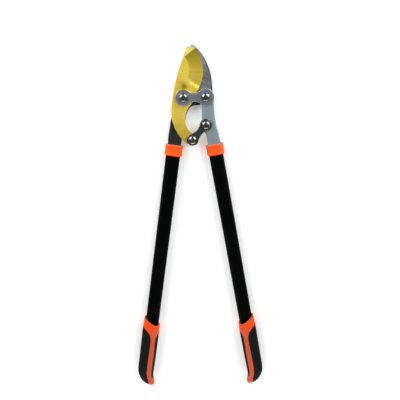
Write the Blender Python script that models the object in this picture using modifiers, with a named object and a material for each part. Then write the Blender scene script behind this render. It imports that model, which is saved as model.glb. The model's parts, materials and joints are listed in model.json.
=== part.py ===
"""Compound-action bypass lopper, lying flat and closed.

Long-handled pruning shears with a hooked counter-blade, a coated crescent blade, a short link that
drives the blade's tail, two oval tube handles and two-colour grips.

Frame: the tool lies in the XY plane with its tip towards +Y and its domed bolt heads up (+Z).
The origin is on the main pivot's axis, on the surface that the bolt ends and the grips rest on.
Units are metres; outline points are listed in millimetres and scaled by MM.
"""

import math

import bmesh
import bpy
from mathutils import Matrix, Vector

MM = 0.001

# ------------------------------------------------------------------ driving dimensions
GAP = 0.0003                      # clearance between touching pieces

MAIN_PIVOT = Vector((0.0, 0.0))           # blade on hook
HANDLE_PIVOT = Vector((0.0410, 0.0))      # right tang on hook
BLADE_LINK_PIVOT = Vector((0.0150, -0.0780))    # link on the blade's tail
HANDLE_LINK_PIVOT = Vector((0.0405, -0.0505))   # link on the right tang

# Layers of the head, from the rest surface up
HOOK_LOW = 0.0081
HOOK_THICK = 0.0045
BLADE_THICK = 0.0040
PLATE_THICK = 0.0030
BACK_LINK_THICK = 0.0033
HOOK_HIGH = HOOK_LOW + HOOK_THICK
BLADE_LOW = HOOK_HIGH + GAP
BLADE_HIGH = BLADE_LOW + BLADE_THICK
PLATE_LOW = BLADE_HIGH + GAP
PLATE_HIGH = PLATE_LOW + PLATE_THICK
BACK_LINK_LOW = HOOK_HIGH - BACK_LINK_THICK

# Pivot hardware
SHAFT_RADIUS = 0.0040
SLEEVE_RADIUS = 0.0060            # bearing sleeve of the two upper pivots
LINK_SLEEVE_RADIUS = 0.0050       # bearing sleeve of the link's pivots
HEAD_RADIUS = 0.0084
HEAD_RIM = 0.0011
HEAD_HEIGHT = 0.0056
WASHER_RADIUS = 0.0080
WASHER_THICK = 0.0012
NUT_FLATS = 0.0130
NUT_HEIGHT = 0.0055
BOLT_PAST_NUT = 0.0008
LINK_SWING_ROOM = 0.0015          # extra radius of the blade tail's hole

# Plates
TIE_MAIN_RADIUS = 0.0148
TIE_HANDLE_RADIUS = 0.0156
TIE_WAIST = 0.0075
LINK_RADIUS = 0.0112
LINK_WAIST = 0.0061
EDGE = 0.0004                     # small chamfer on plate edges

# Blade grind
GRIND_CENTRE = Vector((-0.0272, 0.0480))
EDGE_RADIUS = 0.0642              # the cutting edge is one arc about the grind centre
GRIND_START = 0.0385              # radius where the hollow grind leaves the flat face
EDGE_LAND = 0.00035               # thickness left at the cutting edge
HOLLOW = 0.0005                   # depth of the hollow below a straight bevel
EDGE_TOP = 39                     # degrees about the grind centre
EDGE_BOTTOM = -36
GRIND_FROM = math.radians(-31)
GRIND_TO = math.radians(58)

# Handles, mirror images about the line x = HANDLE_APEX.x
HANDLE_ANGLE = math.radians(9.2)
HANDLE_APEX = Vector((0.0176, 0.1445))    # where both handle axes meet
COLLAR_DISTANCE = 0.2452                  # from the apex to the collar's middle
TUBE_LIFT = 0.00025                       # tube's middle plane above the tangs' shared middle
TUBE_MID = (HOOK_LOW + BLADE_HIGH) / 2 + TUBE_LIFT
TUBE_WIDTH = 0.0274
TUBE_DEPTH = 0.0170
TUBE_WALL = 0.0013
TUBE_TOP = -0.0082
TUBE_END = 0.4950
COLLAR_WIDTH = 0.0346
COLLAR_DEPTH = 0.0230
COLLAR_HALF_LENGTH = 0.0102
COLLAR_EDGE = 0.0022
SLOT_HALF_WIDTH = 0.0131          # the collar's slot takes either tang
SLOT_LOW = -0.0052
SLOT_HIGH = 0.0048
TANG_NECK = 0.0100                # half-width of a tang inside its tube
TANG_SHOULDER = TUBE_TOP - 2 * GAP
TANG_END = 0.0480
TANG_CORNER = 0.0040
WIDE_SHOULDER = 0.0126
NARROW_SHOULDER = 0.0124
PIN_RADIUS = 0.0025
PIN_AT = 0.0020
PIN_SIDES = 16
PLUG_LENGTH = 0.0120
PLUG_RECESS = 0.0010
INLAY_FLOOR = 0.0095              # height of the stripe's groove floor above the tube's middle plane
BORE_START = 0.3000               # the grip's bore is cut from here, above the ring
THROUGH = 0.0300                  # reach of a cutter that passes right through a handle piece

# Grip stations: distance from the collar, outer edge, inner edge, half-depth (millimetres)
GRIP_STATIONS = [
    (350, -17.4, 17.0, 12.3),
    (374, -18.3, 17.4, 12.7),
    (412, -18.3, 17.2, 12.7),
    (450, -18.0, 17.1, 12.7),
    (477, -18.0, 16.6, 12.6),
    (489, -16.5, 16.6, 12.3),
    (498, -12.7, 17.2, 11.8),
    (504, -8.9, 19.6, 11.2),
    (509, -4.0, 21.2, 10.2),
    (513, 2.4, 21.4, 8.6),
    (516, 9.0, 19.8, 6.0),
    (517.6, 12.6, 17.4, 2.6),
]
# The ring's upper edge, from the outer side to the inner side (across, along)
RING_TOP = [(-26, 352.5), (-15, 357.2), (-6, 363), (2, 368.6), (9, 371), (16, 371.4), (26, 371.4)]
# The boundary of the orange core against the black sleeve, down the outer side and up the inner side
CORE_OUTER_SIDE = [(-26, 374), (-18, 376.5), (-9.5, 382.5), (-2.4, 390), (0.9, 398), (2.2, 412)]
CORE_STRIPE_OUTER = [(2.0, 434), (1.6, 459), (2.2, 484), (5, 496), (8.2, 505), (9.6, 520)]
CORE_STRIPE_INNER = [(13.6, 496), (11.8, 484), (11.6, 459), (11.7, 434)]
CORE_INNER_SIDE = [(11.2, 410), (11.6, 401), (13.2, 394), (17.3, 387.5), (26, 382)]
TOE_END = [(30, 522), (30, 500), (17.4, 500)]
# Corners well outside a grip, beyond its top
PAST_TOP = [(26, 340), (-26, 340)]

# Plate outlines (millimetres)
HOOK_OUTER = [(15.5, 93), (20.2, 91.8), (28.2, 85.2), (36.7, 74.6), (42.8, 63.3), (48.5, 49.2),
              (51.8, 35), (53.1, 22), (53.6, 13)]
HOOK_THROAT = [(8.5, 15.2), (15.8, 18.6), (22, 25.5), (26.3, 35), (28, 46), (27.3, 57), (25, 68),
               (21.5, 78), (17.6, 87)]
WEB_UNDERSIDE = [(29, -15), (22, -15.4), (17.5, -15.6), (11.2, -19.2), (6.6, -26.4), (4.0, -34.5),
                 (1.2, -50), (-2.6, -66), (-5.2, -77)]
HOOK_BACK = [(-30.8, -70.7), (-28.3, -58.5), (-25.6, -44.6), (-22.4, -31.8), (-18.6, -16)]
BLADE_SPINE = [(9, -87.8), (2.6, -84.6), (-3.4, -78.9), (-10.6, -69.3), (-15.8, -59.8), (-19.4, -50.4),
               (-22.1, -41), (-23.1, -31), (-22.9, -21), (-21.6, -9), (-19.2, 5), (-15.4, 22.6),
               (-10.3, 40.1), (-4.3, 57.5), (2.4, 74.7), (5.8, 84)]
BLADE_TIP = [(7.2, 87.2), (10.6, 89.4), (16, 89.9)]
BLADE_ROOT = [(21.8, 3.4), (18.6, -5), (14.6, -11.6), (9.8, -17.6), (5.7, -24), (3.2, -32.6), (2.5, -41.6),
              (3.6, -49.4), (7, -57), (12.8, -64.4)]
TANG_INNER = [(32.9, -19), (32.8, -29), (33.2, -40), (34.4, -52), (36.8, -61.5), (40.6, -70)]
TANG_OUTER = [(65.2, -74), (62.2, -61), (59.6, -51.5), (57.6, -40), (56.5, -27), (55.7, -14)]
TANG_BOSS_RADIUS = 0.0145
HOOK_BOSS_RADIUS = 0.0148
TAIL_BOSS_RADIUS = 0.0104

# ------------------------------------------------------------------ finishes: colour, metallic, roughness
FINISHES = {
    "blade_coating": ((0.72, 0.50, 0.07), 1.0, 0.30),
    "hook_steel": ((0.045, 0.050, 0.055), 0.8, 0.42),
    "plate_steel": ((0.16, 0.17, 0.19), 1.0, 0.38),
    "link_steel": ((0.06, 0.065, 0.065), 0.9, 0.38),
    "tang_paint": ((0.24, 0.31, 0.34), 0.3, 0.42),
    "bolt_chrome": ((0.75, 0.76, 0.78), 1.0, 0.10),
    "zinc": ((0.50, 0.51, 0.53), 1.0, 0.35),
    "bronze": ((0.45, 0.28, 0.12), 1.0, 0.35),
    "tube_black": ((0.010, 0.011, 0.011), 0.1, 0.35),
    "collar_orange": ((0.85, 0.14, 0.02), 0.0, 0.42),
    "core_orange": ((0.78, 0.12, 0.03), 0.0, 0.48),
    "sleeve_black": ((0.014, 0.018, 0.018), 0.0, 0.62),
    "plug_black": ((0.02, 0.02, 0.02), 0.0, 0.55),
}


# ------------------------------------------------------------------ curves and outlines
def scaled(points):
    """Points listed in millimetres, in metres."""
    return [Vector((x * MM, y * MM)) for x, y in points]


def arc(centre, radius, start, end, steps):
    """Points on an arc, both ends included, angles in degrees."""
    points = []
    for i in range(steps + 1):
        angle = math.radians(start + (end - start) * i / steps)
        points.append(centre + radius * Vector((math.cos(angle), math.sin(angle))))
    return points


def circle(centre, radius, steps=24):
    """A closed round outline."""
    return arc(centre, radius, 0, 360, steps)[:-1]


def smooth(points, steps=3):
    """A Catmull-Rom curve through points, both ends included."""
    ends = [2 * points[0] - points[1]] + list(points) + [2 * points[-1] - points[-2]]
    curve = []
    for before, start, end, after in zip(ends, ends[1:], ends[2:], ends[3:]):
        for i in range(steps):
            t = i / steps
            curve.append(0.5 * (2 * start + (end - before) * t
                                + (2 * before - 5 * start + 4 * end - after) * t ** 2
                                + (3 * start - before - 3 * end + after) * t ** 3))
    curve.append(points[-1])
    return curve


def tie_outline(first, first_radius, second, second_radius, waist):
    """A dumbbell: two bosses joined by a neck whose sides are single arcs, tangent to both bosses."""
    along = second - first
    span = along.length
    along.normalize()
    across = Vector((-along.y, along.x))

    def fillet_centre(radius):
        reach_first = first_radius + radius
        reach_second = second_radius + radius
        x = (span ** 2 + reach_first ** 2 - reach_second ** 2) / (2 * span)
        return x, math.sqrt(max(reach_first ** 2 - x ** 2, 0.0))

    small = 0.002
    large = 0.2
    for _ in range(60):
        radius = (small + large) / 2
        if fillet_centre(radius)[1] - radius < waist:
            small = radius
        else:
            large = radius
    x, y = fillet_centre(radius)
    first_angle = math.degrees(math.atan2(y, x))
    second_angle = math.degrees(math.atan2(y, x - span))
    local = arc(Vector((0, 0)), first_radius, first_angle, 360 - first_angle, 18)
    local += arc(Vector((x, -y)), radius, 180 - first_angle, 180 - second_angle, 6)[1:-1]
    local += arc(Vector((span, 0)), second_radius, -second_angle, second_angle, 18)
    local += arc(Vector((x, y)), radius, 180 + second_angle, 180 + first_angle, 6)[1:-1]
    return [first + along * p.x + across * p.y for p in local]


def stadium(width, depth, steps=9):
    """An oval tube's section, wide along X: straight sides and round ends."""
    radius = depth / 2
    reach = width / 2 - radius
    return (arc(Vector((reach, 0)), radius, -90, 90, steps)
            + arc(Vector((-reach, 0)), radius, 90, 270, steps))


def grown(loop, distance):
    """An outline moved outwards by distance; loop may run either way round."""
    area = sum(a.x * b.y - b.x * a.y for a, b in zip(loop, loop[1:] + loop[:1]))
    side = 1 if area > 0 else -1
    result = []
    for before, here, after in zip(loop[-1:] + loop[:-1], loop, loop[1:] + loop[:1]):
        tangent = (here - before).normalized() + (after - here).normalized()
        tangent.normalize()
        result.append(here + side * distance * Vector((tangent.y, -tangent.x)))
    return result


# ------------------------------------------------------------------ meshes
def flat_mesh(name, loops, low, high, merged=False):
    """A closed plate between two heights: an outline, then the outlines of its holes.

    With merged, its flat faces are joined into large ones, which chamfer cleanly.
    """
    curve = bpy.data.curves.new(name, "CURVE")
    curve.dimensions = "2D"
    curve.fill_mode = "BOTH"
    curve.extrude = (high - low) / 2
    for loop in loops:
        spline = curve.splines.new("POLY")
        spline.points.add(len(loop) - 1)
        spline.use_cyclic_u = True
        for point, place in zip(spline.points, loop):
            point.co = (place.x, place.y, 0, 1)
    carrier = bpy.data.objects.new(name, curve)
    bpy.context.scene.collection.objects.link(carrier)
    depsgraph = bpy.context.evaluated_depsgraph_get()
    mesh = bpy.data.meshes.new_from_object(carrier.evaluated_get(depsgraph))
    bpy.data.objects.remove(carrier)
    bpy.data.curves.remove(curve)
    bm = bmesh.new()
    bm.from_mesh(mesh)
    bmesh.ops.remove_doubles(bm, verts=bm.verts, dist=1e-6)
    if merged:
        bmesh.ops.dissolve_limit(bm, angle_limit=math.radians(0.5), verts=bm.verts, edges=bm.edges)
    bmesh.ops.recalc_face_normals(bm, faces=bm.faces)
    bmesh.ops.translate(bm, verts=bm.verts, vec=(0, 0, (low + high) / 2))
    bm.to_mesh(mesh)
    bm.free()
    return mesh


def loft_mesh(name, rings):
    """A closed body through rings of equal point counts, capped at both ends."""
    bm = bmesh.new()
    loops = [[bm.verts.new(point) for point in ring] for ring in rings]
    count = len(rings[0])
    for low, high in zip(loops, loops[1:]):
        for i in range(count):
            j = (i + 1) % count
            bm.faces.new((low[i], low[j], high[j], high[i]))
    bm.faces.new(loops[0])
    bm.faces.new(loops[-1])
    bmesh.ops.recalc_face_normals(bm, faces=bm.faces)
    mesh = bpy.data.meshes.new(name)
    bm.to_mesh(mesh)
    bm.free()
    return mesh


def add_object(name, mesh, collection):
    """An object at the world's origin that holds mesh."""
    item = bpy.data.objects.new(name, mesh)
    collection.objects.link(item)
    return item


def chamfer(item, width, segments=1):
    """Chamfer or round every sharp edge."""
    bevel = item.modifiers.new("edges", "BEVEL")
    bevel.width = width
    bevel.segments = segments
    bevel.limit_method = "ANGLE"
    bevel.angle_limit = math.radians(38)


def cut(item, cutter, operation="DIFFERENCE"):
    """An exact Boolean of item with cutter."""
    boolean = item.modifiers.new("cut", "BOOLEAN")
    boolean.operation = operation
    boolean.solver = "EXACT"
    boolean.object = cutter


def add_cutter(name, mesh):
    """A hidden cutter."""
    item = add_object(name, mesh, cutters)
    item.hide_render = True
    item.display_type = "WIRE"
    return item


def used_cutters(item):
    """The cutters of item's Booleans, and the cutters of those."""
    found = []
    for modifier in item.modifiers:
        if modifier.type == "BOOLEAN":
            found += [modifier.object] + used_cutters(modifier.object)
    return found


def finished_mesh(item, name):
    """The mesh of item with its modifiers applied; item and its cutters are removed."""
    depsgraph = bpy.context.evaluated_depsgraph_get()
    mesh = bpy.data.meshes.new_from_object(item.evaluated_get(depsgraph))
    mesh.name = name
    for used in used_cutters(item):
        bpy.data.objects.remove(used)
    bpy.data.objects.remove(item)
    return mesh


def mirrored(mesh):
    """A copy of mesh reflected across X = 0, still facing outwards."""
    copy = mesh.copy()
    copy.transform(Matrix.Scale(-1, 4, Vector((1, 0, 0))))
    copy.flip_normals()
    return copy


def finish(item, finish_name, crease=35):
    """Give item its own material and shade it smooth up to the crease angle (degrees)."""
    colour, metallic, roughness = FINISHES[finish_name]
    material = bpy.data.materials.new(item.name)
    material.use_nodes = True
    shader = material.node_tree.nodes["Principled BSDF"]
    shader.inputs["Base Color"].default_value = (*colour, 1)
    shader.inputs["Metallic"].default_value = metallic
    shader.inputs["Roughness"].default_value = roughness
    material.diffuse_color = (*colour, 1)
    item.data.materials.clear()
    item.data.materials.append(material)
    item.data.shade_smooth()
    item.data.set_sharp_from_angle(angle=math.radians(crease))


def hold(item, empty):
    """Parent item to an empty on its joint's axis, keeping item where it is in the world."""
    item.parent = empty
    item.location = item.location - empty.location


# ------------------------------------------------------------------ head plates
def plate(name, loops, low, high, finish_name, empty=None, edge=EDGE):
    """A chamfered plate made from world outlines, held by an empty on its joint if it moves."""
    base = Vector((empty.location.x, empty.location.y)) if empty else Vector((0, 0))
    local = [[point - base for point in loop] for loop in loops]
    item = add_object(name, flat_mesh(name, local, low, high, merged=True), parts)
    chamfer(item, edge)
    finish(item, finish_name)
    if empty:
        item.parent = empty
    return item


def handle_origin(side):
    """The collar's middle on a handle's axis; side is -1 for the left handle, +1 for the right."""
    reach = COLLAR_DISTANCE * Vector((side * math.sin(HANDLE_ANGLE), -math.cos(HANDLE_ANGLE)))
    return HANDLE_APEX + reach


def on_handle(side, along, inward):
    """A point at a distance along a handle from its collar, and inward of its axis."""
    axis = Vector((side * math.sin(HANDLE_ANGLE), -math.cos(HANDLE_ANGLE)))
    towards_middle = Vector((-side * math.cos(HANDLE_ANGLE), -math.sin(HANDLE_ANGLE)))
    return handle_origin(side) + along * axis + inward * towards_middle


def tang_tail(side, inner_shoulder, outer_shoulder):
    """The part of a tang inside its collar and tube, from the inner side round to the outer side."""
    flat = TANG_NECK - TANG_CORNER
    straight = TANG_END - TANG_CORNER
    corners = [(TANG_SHOULDER, inner_shoulder), (TANG_SHOULDER, TANG_NECK), (straight, TANG_NECK),
               (TANG_END, flat), (TANG_END, -flat), (straight, -TANG_NECK), (TANG_SHOULDER, -TANG_NECK),
               (TANG_SHOULDER, -outer_shoulder)]
    return [on_handle(side, along, inward) for along, inward in corners]


def pin_hole(side):
    """The hole through a tang for its pin."""
    return circle(on_handle(side, PIN_AT, 0), PIN_RADIUS + GAP, PIN_SIDES)


def build_hook():
    """Counter-blade, web and left tang in one forging."""
    outline = smooth(scaled(HOOK_OUTER))
    outline += arc(HANDLE_PIVOT, HOOK_BOSS_RADIUS, 24, -125, 16)
    outline += smooth(scaled(WEB_UNDERSIDE))
    outline += tang_tail(-1, WIDE_SHOULDER, NARROW_SHOULDER)
    outline += smooth(scaled(HOOK_BACK))
    outline += arc(MAIN_PIVOT, HOOK_BOSS_RADIUS, 196, 84, 12)
    outline += smooth(scaled(HOOK_THROAT))
    hole = SHAFT_RADIUS + GAP
    loops = [outline, circle(MAIN_PIVOT, hole), circle(HANDLE_PIVOT, hole), pin_hole(-1)]
    plate("hook_blade", loops, HOOK_LOW, HOOK_HIGH, "hook_steel")


def grind_cutter(empty):
    """The space that the hollow grind removes: a profile turned about the grind centre."""
    steps = 6
    over = 0.003
    profile = []
    for i in range(steps + 1):
        u = i / steps
        radius = GRIND_START + (EDGE_RADIUS - GRIND_START) * u
        depth = (BLADE_THICK - EDGE_LAND) * u + 4 * HOLLOW * u * (1 - u)
        profile.append((radius, BLADE_HIGH - depth))
    profile.append((EDGE_RADIUS + over, BLADE_LOW + EDGE_LAND / 2))
    profile.append((EDGE_RADIUS + over, BLADE_HIGH + over))
    profile.append((GRIND_START, BLADE_HIGH + over))
    rings = []
    turns = 24
    centre = GRIND_CENTRE - Vector((empty.location.x, empty.location.y))
    for i in range(turns + 1):
        angle = GRIND_FROM + (GRIND_TO - GRIND_FROM) * i / turns
        out = Vector((math.cos(angle), math.sin(angle)))
        rings.append([(centre.x + r * out.x, centre.y + r * out.y, z) for r, z in profile])
    cutter = add_cutter("blade_grind", loft_mesh("blade_grind", rings))
    cutter.parent = empty
    return cutter


def build_blade(empty):
    """Crescent blade with a hollow-ground edge, and the tail that the link drives."""
    outline = arc(GRIND_CENTRE, EDGE_RADIUS, EDGE_TOP, EDGE_BOTTOM, 22)
    outline += smooth(scaled(BLADE_ROOT))
    outline += arc(BLADE_LINK_PIVOT, TAIL_BOSS_RADIUS, 62, -112, 14)
    outline += smooth(scaled(BLADE_SPINE))
    outline += smooth(scaled(BLADE_TIP))
    loops = [outline, circle(MAIN_PIVOT, SLEEVE_RADIUS + GAP),
             circle(BLADE_LINK_PIVOT, LINK_SLEEVE_RADIUS + GAP + LINK_SWING_ROOM)]
    mesh = flat_mesh("cutting_blade", loops, BLADE_LOW, BLADE_HIGH, merged=True)
    blade = add_object("cutting_blade", mesh, parts)
    cut(blade, grind_cutter(empty))
    finish(blade, "blade_coating", 25)
    blade.parent = empty


def build_right_tang(empty):
    """Flat tang of the right handle, turning on the handle pivot."""
    outline = arc(HANDLE_PIVOT, TANG_BOSS_RADIUS, -8, 236, 20)
    outline += smooth(scaled(TANG_INNER))
    outline += tang_tail(1, NARROW_SHOULDER, WIDE_SHOULDER)
    outline += smooth(scaled(TANG_OUTER))
    loops = [outline, circle(HANDLE_PIVOT, SLEEVE_RADIUS + GAP),
             circle(HANDLE_LINK_PIVOT, LINK_SLEEVE_RADIUS + GAP), pin_hole(1)]
    plate("right_tang", loops, BLADE_LOW, BLADE_HIGH, "tang_paint", empty)


def build_plates(link_empty):
    """The tie plate across the two upper pivots, and the two plates of the link."""
    hole = SHAFT_RADIUS + GAP
    tie = tie_outline(MAIN_PIVOT, TIE_MAIN_RADIUS, HANDLE_PIVOT, TIE_HANDLE_RADIUS, TIE_WAIST)
    plate("tie_plate", [tie, circle(MAIN_PIVOT, hole), circle(HANDLE_PIVOT, hole)],
          PLATE_LOW, PLATE_HIGH, "plate_steel")
    link = tie_outline(BLADE_LINK_PIVOT, LINK_RADIUS, HANDLE_LINK_PIVOT, LINK_RADIUS, LINK_WAIST)
    loops = [link, circle(BLADE_LINK_PIVOT, hole), circle(HANDLE_LINK_PIVOT, hole)]
    plate("link_plate_front", loops, PLATE_LOW, PLATE_HIGH, "link_steel", link_empty)
    plate("link_plate_back", loops, BACK_LINK_LOW, HOOK_HIGH - GAP, "link_steel", link_empty)


# ------------------------------------------------------------------ pivot hardware
def turned(name, profile, centre, finish_name, empty):
    """A turned piece: a profile down its outer side, spun about a pivot's axis."""
    mesh = bpy.data.meshes.new(name)
    points = [(radius, 0, z) for radius, z in profile]
    mesh.from_pydata(points, [(i, i + 1) for i in range(len(points) - 1)], [])
    item = add_object(name, mesh, parts)
    screw = item.modifiers.new("turn", "SCREW")
    screw.axis = "Z"
    screw.steps = 24
    screw.render_steps = 24
    screw.use_merge_vertices = True
    screw.merge_threshold = 0.00001
    screw.use_smooth_shade = True
    return set_on_pivot(item, centre, finish_name, empty)


def set_on_pivot(item, centre, finish_name, empty):
    """Place item on a pivot's axis, and hold it there if it moves."""
    item.location = (centre.x, centre.y, 0)
    finish(item, finish_name)
    if empty:
        hold(item, empty)
    return item


def bolt_profile(end):
    """Domed head, shaft and chamfered end."""
    seat = PLATE_HIGH + GAP
    dome = HEAD_HEIGHT - HEAD_RIM
    ball = (HEAD_RADIUS ** 2 + dome ** 2) / (2 * dome)
    half = math.asin(HEAD_RADIUS / ball)
    steps = 7
    profile = [(0, seat + HEAD_HEIGHT)]
    for i in range(1, steps + 1):
        angle = half * i / steps
        profile.append((ball * math.sin(angle), seat + HEAD_HEIGHT - ball * (1 - math.cos(angle))))
    chamfered = 0.0006
    profile += [(HEAD_RADIUS, seat), (SHAFT_RADIUS, seat), (SHAFT_RADIUS, end + chamfered),
                (SHAFT_RADIUS - chamfered, end), (0, end)]
    return profile


def build_pivot(name, centre, seat, sleeve_radius, empty=None):
    """Bolt, sleeve, washer and nut of one pivot; seat is the face that the washer lies under."""
    washer_high = seat - GAP
    washer_low = washer_high - WASHER_THICK
    nut_high = washer_low - GAP
    nut_low = nut_high - NUT_HEIGHT
    hole = SHAFT_RADIUS + GAP
    turned(name + "_bolt", bolt_profile(nut_low - BOLT_PAST_NUT), centre, "bolt_chrome", empty)
    middle = Vector((0, 0))
    rings = [
        ("_sleeve", circle(middle, sleeve_radius), BLADE_LOW, BLADE_HIGH, "bronze", 0),
        ("_washer", circle(middle, WASHER_RADIUS), washer_low, washer_high, "zinc", 0),
        ("_nut", circle(middle, NUT_FLATS / math.sqrt(3), 6), nut_low, nut_high, "zinc", 0.0005),
    ]
    for suffix, outline, low, high, finish_name, edge in rings:
        mesh = flat_mesh(name + suffix, [outline, circle(middle, hole)], low, high, merged=True)
        item = add_object(name + suffix, mesh, parts)
        if edge:
            chamfer(item, edge)
        set_on_pivot(item, centre, finish_name, empty)


# ------------------------------------------------------------------ handles, built as the left one
def across_tube(name, loops, start, end):
    """A hollow or solid length with a constant section, from start to end along the handle."""
    mesh = flat_mesh(name, loops, start, end)
    mesh.transform(Matrix.Rotation(math.radians(90), 4, "X"))
    return mesh


def in_plane(points):
    """Points given as (inward, along) in millimetres, in the handle's own axes."""
    return [Vector((inward * MM, -along * MM)) for inward, along in points]


def grip_body():
    """The whole grip before it is split into core and sleeve, with its ring's slanted top and its bore."""
    count = 28
    power = 2 / 2.5
    rings = []
    for along, outer, inner, depth in GRIP_STATIONS:
        middle = (outer + inner) / 2
        half = (inner - outer) / 2
        ring = []
        for i in range(count):
            angle = 2 * math.pi * i / count
            across = math.copysign(abs(math.cos(angle)) ** power, math.cos(angle))
            up = math.copysign(abs(math.sin(angle)) ** power, math.sin(angle))
            ring.append(((middle + half * across) * MM, -along * MM, depth * up * MM))
        rings.append(ring)
    body = add_object("grip_body", loft_mesh("grip_body", rings), cutters)
    above = smooth(in_plane(RING_TOP)) + in_plane(PAST_TOP)
    cut(body, add_cutter("ring_top", flat_mesh("ring_top", [above], -THROUGH, THROUGH)))
    bore = stadium(TUBE_WIDTH + 2 * GAP, TUBE_DEPTH + 2 * GAP)
    cut(body, add_cutter("grip_bore", across_tube("grip_bore", [bore], BORE_START, TUBE_END + GAP)))
    return finished_mesh(body, "grip_body")


def core_regions():
    """The core's places inside the grip: ring and toe right through, and the stripe inlaid in both faces."""
    steps = 3
    outer_side = smooth(in_plane(CORE_OUTER_SIDE + CORE_STRIPE_OUTER), steps)
    inner_side = smooth(in_plane(CORE_STRIPE_INNER + CORE_INNER_SIDE), steps)
    toe_end = in_plane(TOE_END)
    past_top = in_plane(PAST_TOP)
    stripe = outer_side + toe_end + inner_side + past_top
    ring = outer_side[:4 * steps + 1] + inner_side[5 * steps:] + past_top
    toe = outer_side[9 * steps:] + toe_end + inner_side[:2]
    return [("ring", ring, -THROUGH, THROUGH), ("toe", toe, -THROUGH, THROUGH),
            ("front", stripe, INLAY_FLOOR, THROUGH), ("back", stripe, -THROUGH, -INLAY_FLOOR)]


def grip_meshes():
    """The orange core and the black sleeve over it."""
    body = grip_body()
    sleeve = add_object("sleeve", body.copy(), cutters)
    for name, loop, low, high in core_regions():
        wider = flat_mesh("sleeve_" + name, [grown(loop, GAP)], low - GAP, high + GAP)
        cut(sleeve, add_cutter("sleeve_" + name, wider))
    core = add_object("core", body, cutters)
    joined = None
    for name, loop, low, high in core_regions():
        region = add_cutter("core_" + name, flat_mesh("core_" + name, [loop], low, high))
        if joined:
            cut(joined, region, "UNION")
        else:
            joined = region
    cut(core, joined, "INTERSECT")
    return finished_mesh(core, "grip_core"), finished_mesh(sleeve, "grip_sleeve")


def collar_mesh():
    """A cup over the tube's mouth, with a slot in its top for the tang."""
    outer = stadium(COLLAR_WIDTH, COLLAR_DEPTH)
    whole = across_tube("collar", [outer], -COLLAR_HALF_LENGTH, COLLAR_HALF_LENGTH)
    collar = add_object("collar", whole, cutters)
    chamfer(collar, COLLAR_EDGE, 3)
    bore = stadium(TUBE_WIDTH + 2 * GAP, TUBE_DEPTH + 2 * GAP)
    cut(collar, add_cutter("collar_bore", across_tube("collar_bore", [bore], TUBE_TOP - GAP, THROUGH)))
    slot = [Vector((SLOT_HALF_WIDTH, SLOT_LOW)), Vector((SLOT_HALF_WIDTH, SLOT_HIGH)),
            Vector((-SLOT_HALF_WIDTH, SLOT_HIGH)), Vector((-SLOT_HALF_WIDTH, SLOT_LOW))]
    cut(collar, add_cutter("collar_slot", across_tube("collar_slot", [slot], -THROUGH, TUBE_TOP + GAP)))
    return finished_mesh(collar, "collar")


def tube_mesh():
    """Hollow oval tube with a hole through both faces for the tang's pin."""
    inner = stadium(TUBE_WIDTH - 2 * TUBE_WALL, TUBE_DEPTH - 2 * TUBE_WALL)
    loops = [stadium(TUBE_WIDTH, TUBE_DEPTH), inner]
    tube = add_object("tube", across_tube("tube", loops, TUBE_TOP, TUBE_END), cutters)
    hole = circle(Vector((0, -PIN_AT)), PIN_RADIUS + GAP, PIN_SIDES)
    cut(tube, add_cutter("tube_pin_hole", flat_mesh("tube_pin_hole", [hole], -THROUGH, THROUGH)))
    return finished_mesh(tube, "tube")


def plug_mesh():
    """Solid plug inside the tube's lower end."""
    smaller = 2 * (TUBE_WALL + GAP)
    section = stadium(TUBE_WIDTH - smaller, TUBE_DEPTH - smaller)
    return across_tube("plug", [section], TUBE_END - PLUG_LENGTH, TUBE_END - PLUG_RECESS)


def pin_mesh():
    """Pin across tube and tang, flush with the tube."""
    outline = circle(Vector((0, -PIN_AT)), PIN_RADIUS, PIN_SIDES)
    return flat_mesh("pin", [outline], -TUBE_DEPTH / 2, TUBE_DEPTH / 2)


def build_handles(right_empty):
    """Left handle pieces, and their mirror images on the right handle's pivot."""
    core, sleeve = grip_meshes()
    meshes = [("collar", collar_mesh(), "collar_orange"), ("tube", tube_mesh(), "tube_black"),
              ("tang_pin", pin_mesh(), "zinc"), ("tube_plug", plug_mesh(), "plug_black"),
              ("grip_core", core, "core_orange"), ("grip_sleeve", sleeve, "sleeve_black")]
    for part_name, mesh, finish_name in meshes:
        for side, prefix, shape in ((-1, "left_", mesh), (1, "right_", mirrored(mesh))):
            item = add_object(prefix + part_name, shape, parts)
            origin = handle_origin(side)
            item.location = (origin.x, origin.y, TUBE_MID)
            item.rotation_euler.z = side * HANDLE_ANGLE
            finish(item, finish_name)
            if side > 0:
                hold(item, right_empty)


# ------------------------------------------------------------------ assembly
def new_collection(name):
    """A collection in the scene."""
    collection = bpy.data.collections.new(name)
    bpy.context.scene.collection.children.link(collection)
    return collection


def joint_empty(name, place):
    """An empty on a joint's axis."""
    empty = bpy.data.objects.new(name, None)
    empty.location = (place.x, place.y, 0)
    empty.empty_display_size = 0.02
    parts.objects.link(empty)
    return empty


for leftover in list(bpy.data.objects):
    bpy.data.objects.remove(leftover)
parts = new_collection("bypass_lopper")
cutters = new_collection("cutters")

blade_joint = joint_empty("blade_joint", MAIN_PIVOT)
handle_joint = joint_empty("handle_joint", HANDLE_PIVOT)
link_joint = joint_empty("link_joint", HANDLE_LINK_PIVOT)

build_hook()
build_blade(blade_joint)
build_right_tang(handle_joint)
build_plates(link_joint)
build_pivot("main_pivot", MAIN_PIVOT, HOOK_LOW, SLEEVE_RADIUS)
build_pivot("handle_pivot", HANDLE_PIVOT, HOOK_LOW, SLEEVE_RADIUS)
build_pivot("blade_link", BLADE_LINK_PIVOT, BACK_LINK_LOW, LINK_SLEEVE_RADIUS, link_joint)
build_pivot("handle_link", HANDLE_LINK_PIVOT, BACK_LINK_LOW, LINK_SLEEVE_RADIUS, link_joint)
build_handles(handle_joint)
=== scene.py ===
import json
import math

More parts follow.
